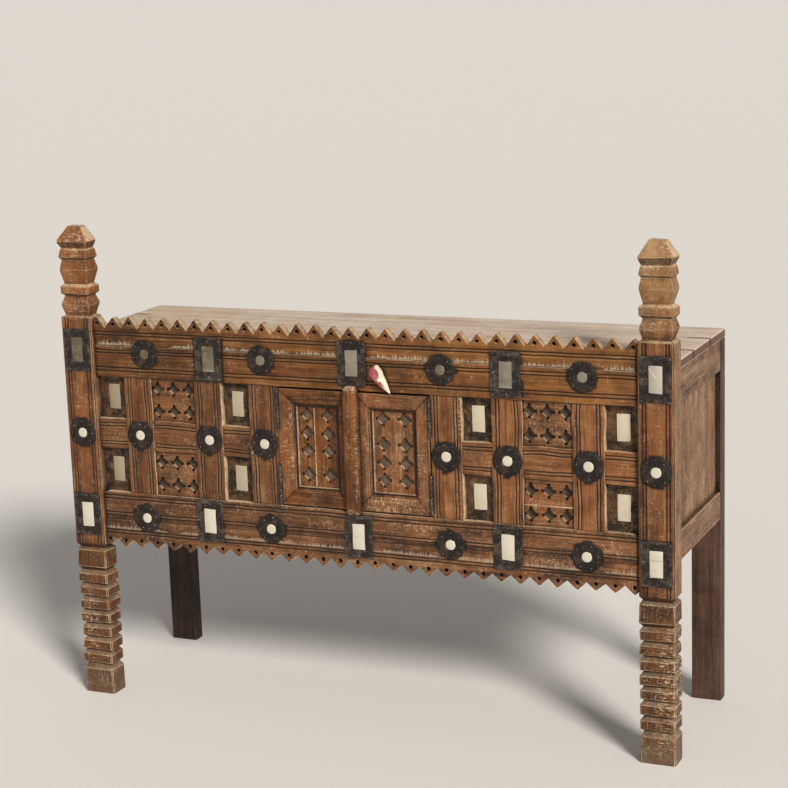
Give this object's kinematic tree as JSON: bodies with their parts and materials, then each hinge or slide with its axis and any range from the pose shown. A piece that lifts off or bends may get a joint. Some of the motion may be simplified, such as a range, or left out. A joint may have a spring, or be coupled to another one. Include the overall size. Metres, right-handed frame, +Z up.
{
  "type": "dowry chest",
  "caption": "Low carved dowry chest on tall notched posts, with a toothed, pierced and mirrored front, a pair of small hinged doors and a wooden turn button.",
  "frame": {"origin": "on the floor, under the middle of the chest's width and depth", "axes": "+X to the right along the front, +Y from the front to the back, +Z up"},
  "size_m": [1.514, 0.4756, 1.166],
  "materials": {
    "carved_wood": "waxed, worn",
    "red_brown_wood": "waxed, worn",
    "dark_plank": "dull",
    "bleached_top": "bleached, dull",
    "painted_button": "worn paint",
    "plate_iron": "blackened sheet",
    "hinge_iron": "blackened, worn",
    "backing_sheet": "dull",
    "old_mirror": "clouded"
  },
  "bodies": {
    "frame": {"back_boards": "dark_plank", "back_low_rail": "dark_plank", "back_top_rail": "dark_plank", "door_stops": "carved_wood", "floor_bearers": "dark_plank", "floor_boards": "dark_plank", "front_bottom_rail": "carved_wood", "front_top_rail": "carved_wood", "hinge_pins": "hinge_iron", "hinge_stile_leaves": "hinge_iron", "iron_plates": "plate_iron", "left_cross_rails": "carved_wood", "left_front_post": "carved_wood", "left_inner_stile": "carved_wood", "left_lower_pierced_panel": "carved_wood", "left_middle_stile": "carved_wood", "left_outer_stile": "carved_wood", "left_rear_post": "dark_plank", "left_side_boards": "carved_wood", "left_side_low_rail": "carved_wood", "left_side_top_rail": "carved_wood", "left_upper_pierced_panel": "carved_wood", "panel_backings": "backing_sheet", "plate_mirrors": "old_mirror", "recess_boards": "carved_wood", "recess_mirrors": "old_mirror", "recess_plates": "plate_iron", "right_cross_rails": "carved_wood", "right_front_post": "carved_wood", "right_inner_stile": "carved_wood", "right_lower_pierced_panel": "carved_wood", "right_middle_stile": "carved_wood", "right_outer_stile": "carved_wood", "right_rear_post": "dark_plank", "right_side_boards": "carved_wood", "right_side_low_rail": "carved_wood", "right_side_top_rail": "carved_wood", "right_upper_pierced_panel": "carved_wood", "round_mirrors": "old_mirror", "round_plates": "plate_iron", "top_bearers": "dark_plank", "top_boards": "bleached_top", "turn_button_nail": "hinge_iron"},
    "right_door": {"right_door_backing": "backing_sheet", "right_door_batten": "red_brown_wood", "right_door_hinge_leaves": "hinge_iron", "right_door_hinge_stile": "red_brown_wood", "right_door_low_rail": "red_brown_wood", "right_door_meeting_stile": "red_brown_wood", "right_door_panel": "red_brown_wood", "right_door_top_rail": "red_brown_wood"},
    "left_door": {"left_door_backing": "backing_sheet", "left_door_hinge_leaves": "hinge_iron", "left_door_hinge_stile": "red_brown_wood", "left_door_low_rail": "red_brown_wood", "left_door_meeting_stile": "red_brown_wood", "left_door_panel": "red_brown_wood", "left_door_top_rail": "red_brown_wood"},
    "turn_button": {"turn_button": "painted_button"}
  },
  "joints": [
    {"name": "right_door_swing", "type": "hinge", "parent": "frame", "child": "right_door", "pos_m": [0.18982, -0.2122, 0.663], "axis": [0, 0, 1], "range_deg": [0, 110]},
    {"name": "left_door_swing", "type": "hinge", "parent": "frame", "child": "left_door", "pos_m": [-0.18982, -0.2122, 0.663], "axis": [0, 0, -1], "range_deg": [0, 110]},
    {"name": "turn_button_turn", "type": "hinge", "parent": "frame", "child": "turn_button", "pos_m": [0.066, -0.2122, 0.856], "axis": [0, -1, 0], "range_deg": [-32, 60]}
  ]
}
